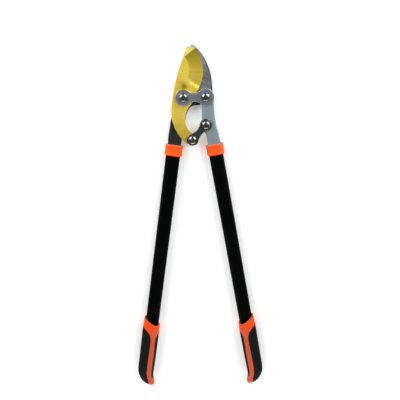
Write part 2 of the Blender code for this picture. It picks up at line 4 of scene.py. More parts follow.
import bmesh
import bpy
from mathutils import Matrix, Vector
from mathutils.geometry import delaunay_2d_cdt

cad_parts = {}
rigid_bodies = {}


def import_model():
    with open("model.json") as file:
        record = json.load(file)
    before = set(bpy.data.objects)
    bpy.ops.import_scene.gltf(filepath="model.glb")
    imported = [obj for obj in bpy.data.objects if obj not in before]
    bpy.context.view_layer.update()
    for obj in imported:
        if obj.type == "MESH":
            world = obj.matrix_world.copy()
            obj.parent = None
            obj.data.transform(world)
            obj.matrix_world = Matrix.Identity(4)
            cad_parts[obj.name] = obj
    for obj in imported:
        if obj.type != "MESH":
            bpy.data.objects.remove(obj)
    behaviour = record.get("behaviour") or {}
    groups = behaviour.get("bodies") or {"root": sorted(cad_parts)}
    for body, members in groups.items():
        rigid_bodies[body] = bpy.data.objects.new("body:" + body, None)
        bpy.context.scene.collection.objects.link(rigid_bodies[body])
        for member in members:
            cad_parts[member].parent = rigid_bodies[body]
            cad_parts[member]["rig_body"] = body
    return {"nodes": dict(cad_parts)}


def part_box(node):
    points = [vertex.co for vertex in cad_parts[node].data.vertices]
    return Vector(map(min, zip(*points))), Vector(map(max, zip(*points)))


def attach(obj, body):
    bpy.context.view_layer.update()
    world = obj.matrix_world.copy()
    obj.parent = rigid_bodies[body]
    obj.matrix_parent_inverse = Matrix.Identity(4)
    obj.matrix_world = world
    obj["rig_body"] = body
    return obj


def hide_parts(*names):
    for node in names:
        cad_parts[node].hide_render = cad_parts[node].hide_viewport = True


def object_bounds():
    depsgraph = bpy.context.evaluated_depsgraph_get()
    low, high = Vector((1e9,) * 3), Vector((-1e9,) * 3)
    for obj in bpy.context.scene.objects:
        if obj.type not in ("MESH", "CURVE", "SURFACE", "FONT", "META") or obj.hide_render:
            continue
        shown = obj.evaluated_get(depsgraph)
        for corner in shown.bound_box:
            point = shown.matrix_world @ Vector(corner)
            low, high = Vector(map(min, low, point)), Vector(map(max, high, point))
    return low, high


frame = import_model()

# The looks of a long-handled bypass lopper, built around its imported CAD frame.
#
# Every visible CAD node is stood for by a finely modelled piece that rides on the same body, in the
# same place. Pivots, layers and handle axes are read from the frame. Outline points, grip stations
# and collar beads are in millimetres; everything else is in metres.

MM = 0.001
cad_low, cad_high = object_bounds()


# --- places, read from the frame
def middle(node):
    """The middle of a CAD node's box."""
    low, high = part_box(node)
    return (low + high) / 2


def pivot(name):
    """The axis of a pivot, seen from above."""
    return middle(name + "_bolt").to_2d()


def layer(node):
    """The lowest and highest level of a CAD node."""
    low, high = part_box(node)
    return low.z, high.z


MAIN_PIVOT = pivot("main_pivot")
HANDLE_PIVOT = pivot("handle_pivot")
BLADE_LINK_PIVOT = pivot("blade_link")
HANDLE_LINK_PIVOT = pivot("handle_link")
BLADE_LOW, BLADE_HIGH = layer("cutting_blade")
BLADE_THICK = BLADE_HIGH - BLADE_LOW


def handle_axes(side):
    """A handle's own axes: X inwards, Y up towards the head, Z up, from the middle of its collar."""
    collar = middle(side + "_collar")
    tube = middle(side + "_tube")
    upward = Vector((collar.x - tube.x, collar.y - tube.y, 0)).normalized()
    inward = Vector((upward.y, -upward.x, 0))
    if side == "right":
        inward = -inward
    axes = Matrix((inward, upward, Vector((0, 0, 1)))).transposed().to_4x4()
    axes.translation = (collar.x, collar.y, tube.z)
    return axes


AXES = {side: handle_axes(side) for side in ("left", "right")}

# --- dimensions repeated from the CAD
GAP = 0.0003
SHAFT_RADIUS = 0.0040
SLEEVE_RADIUS = 0.0060
HEAD_RADIUS = 0.0084
HEAD_HEIGHT = 0.0056
WASHER_RADIUS = 0.0080
NUT_FLATS = 0.0130
TIE_MAIN_RADIUS = 0.0148
TIE_HANDLE_RADIUS = 0.0156
TIE_WAIST = 0.0075
LINK_RADIUS = 0.0112
LINK_WAIST = 0.0061
TANG_BOSS_RADIUS = 0.0145
HOOK_BOSS_RADIUS = 0.0148
TAIL_BOSS_RADIUS = 0.0104
LINK_HOLE_RADIUS = 0.0053
TAIL_HOLE_RADIUS = 0.0068

TUBE_WIDTH = 0.0274
TUBE_DEPTH = 0.0170
TUBE_WALL = 0.0013
TUBE_TOP = -0.0082
TUBE_END = 0.4950
COLLAR_WIDTH = 0.0346
COLLAR_DEPTH = 0.0230
COLLAR_HALF_LENGTH = 0.0102
TANG_NECK = 0.0100
TANG_SHOULDER = TUBE_TOP - 2 * GAP
TANG_END = 0.0480
TANG_HALF_WIDTH = 0.0125
PIN_RADIUS = 0.0025
PIN_AT = 0.0020
INLAY_FLOOR = 0.0095
THROUGH = 0.0300                # reach of a cutter that passes right through a handle piece

# Grip stations: distance from the collar, outer edge, inner edge, half-depth (millimetres)
GRIP_STATIONS = [(350, -17.4, 17.0, 12.3), (374, -18.3, 17.4, 12.7), (412, -18.3, 17.2, 12.7),
                 (450, -18.0, 17.1, 12.7), (477, -18.0, 16.6, 12.6), (489, -16.5, 16.6, 12.3),
                 (498, -12.7, 17.2, 11.8), (504, -8.9, 19.6, 11.2), (509, -4.0, 21.2, 10.2),
                 (513, 2.4, 21.4, 8.6), (516, 9.0, 19.8, 6.0), (517.6, 12.6, 17.4, 2.6)]
# Outlines on a grip, as (inward, along): the ring's top, and the core's two sides
RING_TOP = [(-26, 352.5), (-15, 357.2), (-6, 363), (2, 368.6), (9, 371), (16, 371.4), (26, 371.4)]
CORE_OUTER_SIDE = [(-26, 374), (-18, 376.5), (-9.5, 382.5), (-2.4, 390), (0.9, 398), (2.2, 412)]
CORE_STRIPE_OUTER = [(2.0, 434), (1.6, 459), (2.2, 484), (5, 496), (8.2, 505), (9.6, 520)]
CORE_STRIPE_INNER = [(13.6, 496), (11.8, 484), (11.6, 459), (11.7, 434)]
CORE_INNER_SIDE = [(11.2, 410), (11.6, 401), (13.2, 394), (17.3, 387.5), (26, 382)]
TOE_END = [(30, 522), (30, 500), (17.4, 500)]
PAST_TOP = [(26, 340), (-26, 340)]     # corners well outside a grip, beyond its top

# Plate outlines
HOOK_OUTER = [(15.5, 93), (20.2, 91.8), (28.2, 85.2), (36.7, 74.6), (42.8, 63.3), (48.5, 49.2),
              (51.8, 35), (53.1, 22), (53.6, 13)]
HOOK_THROAT = [(8.5, 15.2), (15.8, 18.6), (22, 25.5), (26.3, 35), (28, 46), (27.3, 57), (25, 68),
               (21.5, 78), (17.6, 87)]
WEB_UNDERSIDE = [(29, -15), (22, -15.4), (17.5, -15.6), (11.2, -19.2), (6.6, -26.4), (4.0, -34.5),
                 (1.2, -50), (-2.6, -66), (-5.2, -77)]
HOOK_BACK = [(-30.8, -70.7), (-28.3, -58.5), (-25.6, -44.6), (-22.4, -31.8), (-18.6, -16)]
BLADE_SPINE = [(9, -87.8), (2.6, -84.6), (-3.4, -78.9), (-10.6, -69.3), (-15.8, -59.8), (-19.4, -50.4),
               (-22.1, -41), (-23.1, -31), (-22.9, -21), (-21.6, -9), (-19.2, 5), (-15.4, 22.6),
               (-10.3, 40.1), (-4.3, 57.5), (2.4, 74.7), (5.8, 84)]
BLADE_TIP = [(7.2, 87.2), (10.6, 89.4), (16, 89.9)]
BLADE_ROOT = [(21.8, 3.4), (18.6, -5), (14.6, -11.6), (9.8, -17.6), (5.7, -24), (3.2, -32.6), (2.5, -41.6),
              (3.6, -49.4), (7, -57), (12.8, -64.4)]
TANG_INNER = [(32.9, -19), (32.8, -29), (33.2, -40), (34.4, -52), (36.8, -61.5), (40.6, -70)]
TANG_OUTER = [(65.2, -74), (62.2, -61), (59.6, -51.5), (57.6, -40), (56.5, -27), (55.7, -14)]

# The blade's hollow grind, about its own centre
GRIND_CENTRE = Vector((-0.0272, 0.0480))
EDGE_RADIUS = 0.0642
GRIND_START = 0.0385
EDGE_LAND = 0.00035
HOLLOW = 0.0005
EDGE_TOP = 39
EDGE_BOTTOM = -36
RUN_OUT = (Vector((0.0057, 0.0293)), Vector((0.0285, 0.0168)))    # where the grind fades towards the pivot
RUN_OUT_WIDTH = 0.0115
TIP_CREASE = (Vector((0.0043, 0.0722)), Vector((0.0233, 0.0855)))  # the tip's own facet starts here
TIP_SLOPE = 0.10
DIMPLE = (Vector((0.0024, 0.0194)), 0.0060, 0.0008)                # place, radius and depth


# --- curves and outlines
def scaled(points, up=1):
    """Points listed in millimetres, in metres; a grip's lengths run down its handle, with up as -1."""
    return [Vector((x * MM, y * MM * up)) for x, y in points]


def arc(centre, radius, start, end, steps):
    """Points on an arc, both ends included, angles in degrees."""
    points = []
    for i in range(steps + 1):
        angle = math.radians(start + (end - start) * i / steps)
        points.append(centre + radius * Vector((math.cos(angle), math.sin(angle))))
    return points


def circle(centre, radius, steps=48):
    """A closed round outline."""
    return arc(centre, radius, 0, 360, steps)[:-1]


def smooth(points, steps=8):
    """A Catmull-Rom curve through points of any dimension, both ends included."""
    ends = [2 * points[0] - points[1]] + list(points) + [2 * points[-1] - points[-2]]
    curve = []
    for before, start, end, after in zip(ends, ends[1:], ends[2:], ends[3:]):
        for i in range(steps):
            t = i / steps
            curve.append(0.5 * (2 * start + (end - before) * t
                                + (2 * before - 5 * start + 4 * end - after) * t ** 2
                                + (3 * start - before - 3 * end + after) * t ** 3))
    curve.append(points[-1])
    return curve


def tie_outline(first, first_radius, second, second_radius, waist):
    """A dumbbell: two bosses joined by a neck whose sides are single arcs, tangent to both bosses."""
    along = second - first
    span = along.length
    along.normalize()
    across = Vector((-along.y, along.x))

    def fillet_centre(radius):
        reach_first = first_radius + radius
        reach_second = second_radius + radius
        x = (span ** 2 + reach_first ** 2 - reach_second ** 2) / (2 * span)
        return x, math.sqrt(max(reach_first ** 2 - x ** 2, 0.0))

    small = 0.002
    large = 0.2
    for _ in range(60):
        radius = (small + large) / 2
        if fillet_centre(radius)[1] - radius < waist:
            small = radius
        else:
            large = radius
    x, y = fillet_centre(radius)
    first_angle = math.degrees(math.atan2(y, x))
    second_angle = math.degrees(math.atan2(y, x - span))
    local = arc(Vector((0, 0)), first_radius, first_angle, 360 - first_angle, 44)
    local += arc(Vector((x, -y)), radius, 180 - first_angle, 180 - second_angle, 20)[1:-1]
    local += arc(Vector((span, 0)), second_radius, -second_angle, second_angle, 44)
    local += arc(Vector((x, y)), radius, 180 + second_angle, 180 + first_angle, 20)[1:-1]
    return [first + along * p.x + across * p.y for p in local]


def signed_power(value, power):
    """A power of a value's size, with the value's own sign."""
    return math.copysign(abs(value) ** power, value)


def oval(width, depth, power=2.0, steps=24):
    """A section with straight sides and round ends; a higher power squares the ends up."""
    half = depth / 2
    reach = width / 2 - half
    points = []
    for side in (1, -1):
        for i in range(steps + 1):
            angle = math.radians(-90 + 180 * i / steps)
            across = max(math.cos(angle), 0.0) ** (2 / power)
            up = signed_power(math.sin(angle), 2 / power)
            points.append(Vector((side * (reach + half * across), side * half * up)))
    return points


def anticlockwise(loop):
    """True if an outline runs anticlockwise."""
    return sum(a.x * b.y - b.x * a.y for a, b in zip(loop, loop[1:] + loop[:1])) > 0


def inset(loop, widths):
    """An outline moved to its left by a width at each point, with mitred corners."""
    moved = []
    for before, here, after, width in zip(loop[-1:] + loop[:-1], loop, loop[1:] + loop[:1], widths):
        into = (here - before).normalized()
        out = (after - here).normalized()
        left = Vector((-into.y - out.y, into.x + out.x)).normalized()
        mitre = max(left.dot(Vector((-into.y, into.x))), 0.5)
        moved.append(here + left * (width / mitre))
    return moved


def grown(loop, distance):
    """An outline moved outwards by the same distance everywhere."""
    side = -1 if anticlockwise(loop) else 1
    return inset(loop, [side * distance] * len(loop))


def inside(point, loop):
    """True if a point is inside an outline."""
    found = False
    for a, b in zip(loop, loop[1:] + loop[:1]):
        if (a.y > point.y) != (b.y > point.y):
            if point.x < a.x + (point.y - a.y) * (b.x - a.x) / (b.y - a.y):
                found = not found
    return found


def eased(value, start=0.0, end=1.0):
    """A smooth step from 0 at start to 1 at end."""
    t = min(max((value - start) / (end - start), 0.0), 1.0)
    return t * t * (3 - 2 * t)


# --- meshes
ROUND = [(1, 0), (0.617, 0.076), (0.293, 0.293), (0.076, 0.617), (0, 1)]   # share inset, share down
BEVEL = [(1, 0), (0.9, 0.03), (0.06, 0.86), (0, 1)]
CREASE = math.radians(30)
UNDER_EDGE = 0.0004
WEAR_BEND_LOW = 500.0      # radians a metre: a 2 mm radius doesn't wear, a 0.6 mm one does
WEAR_BEND_HIGH = 1600.0


def new_object(name, data):
    """An object in the scene."""
    item = bpy.data.objects.new(name, data)
    bpy.context.scene.collection.objects.link(item)
    return item


def store(mesh, name, domain, values):
    """Put numbers on a mesh, for its material to read."""
    mesh.attributes.new(name, "FLOAT", domain).data.foreach_set("value", values)


def new_mesh(name, bm):
    """A mesh made from bm, which is freed."""
    bmesh.ops.recalc_face_normals(bm, faces=bm.faces)
    mesh = bpy.data.meshes.new(name)
    bm.to_mesh(mesh)
    bm.free()
    return mesh


def bridge(bm, below, above):
    """Quads between two rings with the same number of points."""
    for i in range(len(below)):
        j = (i + 1) % len(below)
        bm.faces.new((below[i], below[j], above[j], above[i]))


def fill(bm, loops, height, free=()):
    """Triangles across an outline with holes, through free points raised to height(point)."""
    points = []
    verts = []
    edges = []
    for loop in loops:
        start = len(points)
        for i, vert in enumerate(loop):
            points.append(vert.co.to_2d())
            verts.append(vert)
            edges.append((start + i, start + (i + 1) % len(loop)))
    points += free
    places, _, triangles, sources, _, _ = delaunay_2d_cdt(points, edges, [], 1, 1e-8, True)
    made = []
    for place, source in zip(places, sources):
        if source and source[0] < len(verts):
            made.append(verts[source[0]])
        else:
            made.append(bm.verts.new((place.x, place.y, height(place))))
    faces = []
    outlines = [[vert.co.to_2d() for vert in loop] for loop in loops]
    for triangle in triangles:
        centre = sum((places[i] for i in triangle), Vector((0, 0))) / 3
        if inside(centre, outlines[0]) and not any(inside(centre, hole) for hole in outlines[1:]):
            faces.append(bm.faces.new([made[i] for i in triangle]))
    return faces


def plate_mesh(name, loops, low, high, edge, profile=ROUND, top=None, grid=None, crease=CREASE):
    """A plate with rounded or bevelled edges, from an outline and its holes.

    edge(point) gives the width and depth of the upper edge there. top(point) gives the upper face's
    level and grid(loops) the free points that carry its shape, where that face isn't flat.
    """
    top = top or (lambda point: high)
    bm = bmesh.new()
    low_loops = []
    high_loops = []
    for number, loop in enumerate(loops):
        if anticlockwise(loop) == (number > 0):
            loop = loop[::-1]
        sizes = [edge(point) for point in loop]
        rings = []
        under = [min(UNDER_EDGE, width) for width, _ in sizes]
        for share_in, share_down in profile:
            placed = inset(loop, [width * share_in for width in under])
            rings.append([bm.verts.new((p.x, p.y, low + width * share_down))
                          for p, width in zip(placed, under)])
        for share_in, share_down in reversed(profile):
            placed = inset(loop, [width * share_in for width, _ in sizes])
            rings.append([bm.verts.new((p.x, p.y, max(top(p) - depth * share_down, low + 2 * UNDER_EDGE)))
                          for p, (_, depth) in zip(placed, sizes)])
        for below, above in zip(rings, rings[1:]):
            bridge(bm, below, above)
        low_loops.append(rings[0])
        high_loops.append(rings[-1])
    fill(bm, low_loops, lambda point: low)
    outlines = [[vert.co.to_2d() for vert in ring] for ring in high_loops]
    upper = set(fill(bm, high_loops, top, grid(outlines) if grid else ()))
    bmesh.ops.recalc_face_normals(bm, faces=bm.faces)
    for line in bm.edges:
        limit = crease if all(face in upper for face in line.link_faces) else CREASE
        line.smooth = line.calc_face_angle(0) < limit
    return new_mesh(name, bm)


def loft_mesh(name, rings, closed=False):
    """A body through rings of points, capped at both ends or joined end to end."""
    bm = bmesh.new()
    loops = [[bm.verts.new(point) for point in ring] for ring in rings]
    for low, high in zip(loops, loops[1:] + (loops[:1] if closed else [])):
        bridge(bm, low, high)
    if not closed:
        bm.faces.new(loops[0])
        bm.faces.new(loops[-1])
    return new_mesh(name, bm)


def turned_mesh(name, profile, centre, steps=72):
    """A turned piece: a profile of (radius, level) from the axis round to the axis, spun."""
    bm = bmesh.new()
    rings = []
    for radius, level in profile:
        if radius == 0:
            rings.append([bm.verts.new((centre.x, centre.y, level))])
        else:
            rings.append([bm.verts.new((p.x, p.y, level)) for p in circle(centre, radius, steps)])
    for first, second in zip(rings, rings[1:]):
        for i in range(steps):
            j = (i + 1) % steps
            corners = [first[i % len(first)], first[j % len(first)],
                       second[j % len(second)], second[i % len(second)]]
            bm.faces.new(list(dict.fromkeys(corners)))
    return new_mesh(name, bm)


def prism_mesh(name, loop, low, high):
    """A plain prism on an outline, used as a cutter."""
    return loft_mesh(name, [[Vector((p.x, p.y, z)) for p in loop] for z in (low, high)])


def boolean(mesh, cutters, operation="DIFFERENCE"):
    """Mesh with each cutter mesh taken away, or kept only inside them."""
    carrier = new_object(mesh.name, mesh)
    used = [carrier]
    for cutter in cutters:
        tool = new_object(cutter.name, cutter)
        used.append(tool)
        modifier = carrier.modifiers.new("cut", "BOOLEAN")
        modifier.operation = operation
        modifier.solver = "EXACT"
        modifier.object = tool
    depsgraph = bpy.context.evaluated_depsgraph_get()
    result = bpy.data.meshes.new_from_object(carrier.evaluated_get(depsgraph))
    for item in used:
        bpy.data.objects.remove(item)
    return result


def placed(mesh, axes):
    """Mesh moved from a handle's own axes into the world, still facing outwards."""
    result = mesh.copy()
    result.transform(axes)
    if axes.determinant() < 0:
        result.flip_normals()
    return result


def mark_wear(mesh):
    """Store on each face how tightly the surface bends there, which wear follows."""
    bm = bmesh.new()
    bm.from_mesh(mesh)
    values = []
    for face in bm.faces:
        turning = sum(line.calc_face_angle(0) * line.calc_length() for line in face.edges)
        bend = turning / 2 / max(face.calc_area(), 1e-12)
        values.append(min(max((bend - WEAR_BEND_LOW) / (WEAR_BEND_HIGH - WEAR_BEND_LOW), 0.0), 1.0))
    bm.free()
    store(mesh, "wear", "FACE", values)


# --- materials
BLADE_GOLD = (0.94, 0.70, 0.10)
# the colour of the painted shade, and also of the coating's dark clouds and grind lines
BLADE_DARK = (0.30, 0.22, 0.012)
# the colour of the painted highlights on the tip facet and the run-out band
BLADE_HIGHLIGHT = (0.97, 0.84, 0.20)
BLADE_WORN = (0.95, 0.86, 0.55)
BLADE_METALLIC = 0.45
BLADE_SPECULAR = 0.3
HOOK_GREY = (0.38, 0.43, 0.46)
HOOK_STAIN = (0.22, 0.205, 0.205)
HOOK_BLACK = (0.012, 0.014, 0.015)
BARE_STEEL = (0.55, 0.56, 0.57)
# the core's colour under the painted shade down a grip
STRIPE_SHADE_ORANGE = (0.60, 0.085, 0.030)
SHADE_SPAN = (-0.492, -0.466)       # along Y: the painted shade is full below the first, none above the second


class Graph:
    """A material's nodes, added one after another."""

    def __init__(self, name):
        self.material = bpy.data.materials.new(name)
        self.material.use_nodes = True
        self.tree = self.material.node_tree
        self.shader = self.tree.nodes["Principled BSDF"]
        self.place = self.add("ShaderNodeTexCoord").outputs["Object"]

    def put(self, node, inputs):
        """Set a node's inputs, by name or number, to values or linked sockets."""
        for key, value in inputs.items():
            socket = node.inputs[key.replace("_", " ") if isinstance(key, str) else key]
            if isinstance(value, bpy.types.NodeSocket):
                self.tree.links.new(value, socket)
            else:
                socket.default_value = value
        return node

    def add(self, kind, settings=None, **inputs):
        """A node with settings as its properties, and inputs as values or linked sockets."""
        node = self.tree.nodes.new(kind)
        for key, value in (settings or {}).items():
            setattr(node, key, value)
        return self.put(node, inputs)

    def noise(self, scale, detail=3.0, stretch=(1, 1, 1), turn=0.0, place=None):
        """Noise with scale features a metre, stretched along turned axes."""
        mapping = self.add("ShaderNodeMapping", Vector=place or self.place, Scale=stretch,
                           Rotation=(0, 0, turn))
        noise = self.add("ShaderNodeTexNoise", Vector=mapping.outputs[0], Scale=scale, Detail=detail)
        return noise.outputs["Fac"]

    def ranged(self, value, low, high, start=0.3, end=0.7):
        """A value mapped from start..end to low..high."""
        node = self.add("ShaderNodeMapRange", Value=value, From_Min=start, From_Max=end, To_Min=low,
                        To_Max=high)
        return node.outputs[0]

    def maths(self, operation, first, second=0.0):
        """Arithmetic on two values or sockets."""
        node = self.add("ShaderNodeMath", {"operation": operation})
        return self.put(node, {0: first, 1: second}).outputs[0]

    def blend(self, share, first, second):
        """A colour between two colours or sockets."""
        node = self.add("ShaderNodeMix", {"data_type": "RGBA"})
        return self.put(node, {0: share, 6: first, 7: second}).outputs[2]

    def between(self, share, first, second):
        """A number between two numbers or sockets."""
        node = self.add("ShaderNodeMix", {"data_type": "FLOAT"})
        return self.put(node, {0: share, 2: first, 3: second}).outputs[0]

    def attribute(self, name):
        """A number stored on the mesh."""
        return self.add("ShaderNodeAttribute", {"attribute_name": name}).outputs["Fac"]

    def drive(self, **inputs):
        """Put values or sockets on the shader."""
        self.put(self.shader, inputs)

    def bump(self, height, depth):
        """Relief of a depth in metres."""
        self.drive(Normal=self.add("ShaderNodeBump", Height=height, Distance=depth, Strength=1.0).outputs[0])


def toned(colour, factor=1.0):
    """A colour made lighter or darker, with its alpha."""
    return (*(min(channel * factor, 1.0) for channel in colour), 1.0)


def surface(name, colour, roughness, metallic=0.0, specular=0.5, tone=0.1, tone_scale=45.0, grain=0.06,
            grain_scale=1500.0, stretch=(1, 1, 1), turn=0.0, relief=0.00001, worn=None, wear=0.6,
            painted_shade=None):
    """A finish with broad tone changes, fine grain in gloss and relief, and worn edges.

    Its last argument, if given, is the colour painted over the lower part of a grip as painted shade.
    """
    graph = Graph(name)
    broad = graph.noise(tone_scale, detail=4.0, stretch=[1 + (s - 1) * 0.3 for s in stretch], turn=turn)
    fine = graph.noise(grain_scale, detail=2.0, stretch=stretch, turn=turn)
    mixed = graph.blend(graph.ranged(broad, 0, 1), toned(colour, 1 - tone), toned(colour, 1 + tone))
    mixed = graph.blend(graph.ranged(fine, 0, 0.5), mixed, toned(colour, 1 - tone))
    if painted_shade:
        # painted shade: down the grip the colour turns to the darker, browner stripe colour
        height = graph.add("ShaderNodeSeparateXYZ", Vector=graph.place).outputs[1]
        mixed = graph.blend(graph.ranged(height, 1, 0, *SHADE_SPAN), mixed, toned(painted_shade))
    rough = graph.maths("ADD", graph.ranged(fine, -grain, grain),
                        graph.ranged(broad, roughness - 0.03, roughness + 0.03))
    if worn:
        patches = graph.ranged(graph.noise(420.0, detail=4.0), 0.1, 1.0, 0.40, 0.62)
        share = graph.maths("MULTIPLY", graph.maths("MULTIPLY", graph.attribute("wear"), patches), wear)
        mixed = graph.blend(share, mixed, toned(worn))
        rough = graph.maths("SUBTRACT", rough, graph.maths("MULTIPLY", share, 0.12))
    graph.drive(Base_Color=mixed, Roughness=rough, Metallic=metallic, Specular_IOR_Level=specular)
    graph.bump(fine, relief)
    return graph.material


def blade_finish():
    """Golden nitride coating: faint brush lines across the flat, stronger ones across the hollow grind, and
    painted light and shade from the tone attribute.
    """
    graph = Graph("blade_coating")
    split = graph.add("ShaderNodeSeparateXYZ", Vector=graph.place)
    across = graph.maths("SUBTRACT", split.outputs[0], GRIND_CENTRE.x)
    up = graph.maths("SUBTRACT", split.outputs[1], GRIND_CENTRE.y)
    angle = graph.maths("ARCTAN2", up, across)
    radius = graph.maths("SQRT", graph.maths("ADD", graph.maths("MULTIPLY", across, across),
                                             graph.maths("MULTIPLY", up, up)))
    polar = graph.add("ShaderNodeCombineXYZ", X=angle, Y=radius).outputs[0]
    ground = graph.attribute("ground")
    flat_lines = graph.noise(50.0, detail=5.0, stretch=(1, 14, 1), turn=math.radians(10))
    cross_lines = graph.noise(26.0, detail=5.0, stretch=(1, 0.3, 1), place=polar)
    lines = graph.between(ground, flat_lines, cross_lines)
    clouds = graph.noise(34.0, detail=3.0)
    # the tone attribute holds painted light and shade: painted shade towards -1, painted highlights towards 1
    tone = graph.attribute("tone")
    mixed = graph.blend(graph.ranged(tone, 0, 1, -1, 0), toned(BLADE_DARK), toned(BLADE_GOLD))
    mixed = graph.blend(graph.ranged(tone, 0, 1, 0, 1), mixed, toned(BLADE_HIGHLIGHT))
    colour = graph.blend(graph.ranged(clouds, 0.16, 0.0), mixed, toned(BLADE_DARK))
    streaks = graph.maths("MULTIPLY", graph.ranged(ground, 0.34, 0.55, 0, 1), graph.ranged(lines, 0, 1))
    colour = graph.blend(streaks, colour, toned(BLADE_DARK, 1.15))
    worn = graph.maths("MULTIPLY", graph.attribute("wear"),
                       graph.ranged(graph.noise(300.0, detail=4.0), 0.15, 0.9))
    colour = graph.blend(worn, colour, toned(BLADE_WORN))
    graph.drive(Base_Color=colour, Roughness=graph.ranged(lines, 0.30, 0.42), Metallic=BLADE_METALLIC,
                Specular_IOR_Level=BLADE_SPECULAR)
    graph.bump(lines, 0.00002)
    return graph.material


def hook_finish():
    """Black-coated forging whose hook face is ground bright and mottled, and painted lighter towards its tip
    as a painted highlight; its rim and tang keep their coat.
    """
    graph = Graph("hook_steel")
    height = graph.add("ShaderNodeSeparateXYZ", Vector=graph.place).outputs[1]
    above = graph.ranged(height, 0.0, 1.0, 0.003, 0.005)
    bare = graph.maths("MULTIPLY", above, graph.attribute("ground"))
    brushed = graph.noise(70.0, detail=5.0, stretch=(1, 16, 1), turn=math.radians(20))
    clouds = graph.noise(40.0, detail=4.0)
    pits = graph.noise(1300.0, detail=3.0)
    steel = graph.blend(graph.ranged(clouds, 0, 1), toned(HOOK_GREY, 0.84), toned(HOOK_GREY, 1.16))
    steel = graph.blend(graph.ranged(brushed, 0, 0.45), steel, toned(HOOK_GREY, 0.7))
    stains = graph.noise(110.0, detail=3.0)
    steel = graph.blend(graph.ranged(stains, 0, 0.8, 0.50, 0.64), steel, toned(HOOK_STAIN))
    steel = graph.blend(graph.ranged(stains, 0.5, 0, 0.36, 0.48), steel, toned(BARE_STEEL))
    # painted highlight: the face is painted lighter towards the hook's tip
    steel = graph.blend(graph.ranged(height, 0, 0.3, 0.066, 0.086), steel, toned(BARE_STEEL))
    coat = graph.blend(graph.ranged(clouds, 0, 1), toned(HOOK_BLACK, 0.8), toned(HOOK_BLACK, 1.4))
    chips = graph.maths("MULTIPLY", graph.attribute("wear"),
                        graph.ranged(graph.noise(380.0), 0, 0.7, 0.48, 0.62))
    coat = graph.blend(chips, coat, toned(HOOK_GREY, 0.9))
    gloss = graph.between(bare, graph.ranged(pits, 0.38, 0.52), graph.ranged(brushed, 0.34, 0.46))
    graph.drive(Base_Color=graph.blend(bare, coat, steel), Roughness=gloss,
                Metallic=graph.ranged(bare, 0.2, 0.95, 0, 1))
    graph.bump(pits, 0.000015)
    return graph.material


FINISHES = {
    "plate_steel": dict(
        colour=(0.36, 0.395, 0.43), roughness=0.38, metallic=0.95, tone=0.10, grain_scale=90.0,
        stretch=(1, 20, 1), turn=math.radians(3), relief=0.000008, worn=BARE_STEEL, wear=0.8),
    "link_steel": dict(
        colour=(0.085, 0.095, 0.095), roughness=0.36, metallic=0.9, tone=0.12, grain_scale=110.0,
        stretch=(14, 1, 1), turn=math.radians(-45), relief=0.000008, worn=BARE_STEEL, wear=0.5),
    "tang_paint": dict(
        colour=(0.25, 0.325, 0.35), roughness=0.42, metallic=0.35, tone=0.09, grain_scale=1400.0,
        relief=0.00002, worn=(0.42, 0.47, 0.5)),
    "bolt_chrome": dict(
        colour=(0.20, 0.21, 0.20), roughness=0.09, metallic=1.0, tone=0.05, grain=0.02,
        grain_scale=700.0, relief=0.000001),
    "zinc": dict(
        colour=(0.52, 0.53, 0.55), roughness=0.34, metallic=1.0, tone=0.14, tone_scale=160.0,
        grain_scale=900.0, relief=0.000008, worn=(0.8, 0.8, 0.8), wear=0.5),
    "bronze": dict(
        colour=(0.45, 0.28, 0.12), roughness=0.36, metallic=1.0, tone=0.15, tone_scale=200.0),
    "tube_black": dict(
        colour=(0.0010, 0.0014, 0.0013), roughness=0.44, specular=0.03, tone=0.3, grain_scale=1700.0,
        relief=0.00003, worn=(0.02, 0.021, 0.022)),
    "collar_orange": dict(
        colour=(0.80, 0.090, 0.008), roughness=0.42, specular=0.25, tone=0.05, grain_scale=2200.0,
        relief=0.00002, worn=(0.95, 0.27, 0.09), wear=0.5),
    # the core is painted darker and browner down the grip, as painted shade
    "core_orange": dict(
        colour=(0.84, 0.07, 0.008), roughness=0.46, specular=0.20, tone=0.06, grain_scale=2200.0,
        relief=0.00002, worn=(0.92, 0.24, 0.08), wear=0.45, painted_shade=STRIPE_SHADE_ORANGE),
    "sleeve_black": dict(
        colour=(0.0032, 0.0042, 0.0037), roughness=0.60, specular=0.10, tone=0.2, grain=0.08,
        grain_scale=1900.0, relief=0.00005, worn=(0.03, 0.034, 0.034)),
    "plug_black": dict(
        colour=(0.018, 0.018, 0.019), roughness=0.55, specular=0.4, tone=0.15, relief=0.00002),
}
MATERIALS = {name: surface(name, **finish) for name, finish in FINISHES.items()}
MATERIALS["blade_coating"] = blade_finish()
MATERIALS["hook_steel"] = hook_finish()


# --- pieces
def piece(node, mesh, slot, flat_faces=False):
    """A finely made piece that stands for a CAD node and moves with its body."""
    mesh.name = node + "_look"
    mark_wear(mesh)
    item = new_object(node + "_look", mesh)
    mesh.materials.clear()
    mesh.materials.append(MATERIALS[slot])
    mesh.polygons.foreach_set("use_smooth", [True] * len(mesh.polygons))
    if not flat_faces:
        mesh.set_sharp_from_angle(angle=CREASE)
    weighted = item.modifiers.new("flat_faces", "WEIGHTED_NORMAL")
    weighted.keep_sharp = True
    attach(item, frame["nodes"][node]["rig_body"])
    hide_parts(node)


HOOK_TIP = Vector((0.0155, 0.0930))
COLLAR_MOUTH = -0.0868       # tangs keep only a fine edge below this line, inside their collars
SHOULDER_EDGE = 0.00015
HOOK_FINE_EDGE = 0.0006
TIP_GROWTH = 0.3             # the fine edge's growth with distance from the hook's tip
# The hook's rim: what it adds to the fine edge, and where it comes in or narrows, as starts and ends
RIM_WIDTH = 0.0020
RIM_DEPTH = 0.0012
RIM_ACROSS = (0.020, 0.030)
RIM_ALONG = (0.001, 0.009)
RIM_FROM_TIP = (0.0, 0.010)
RIM_NARROWS = (0.055, 0.075)
RIM_LOSS = 0.75
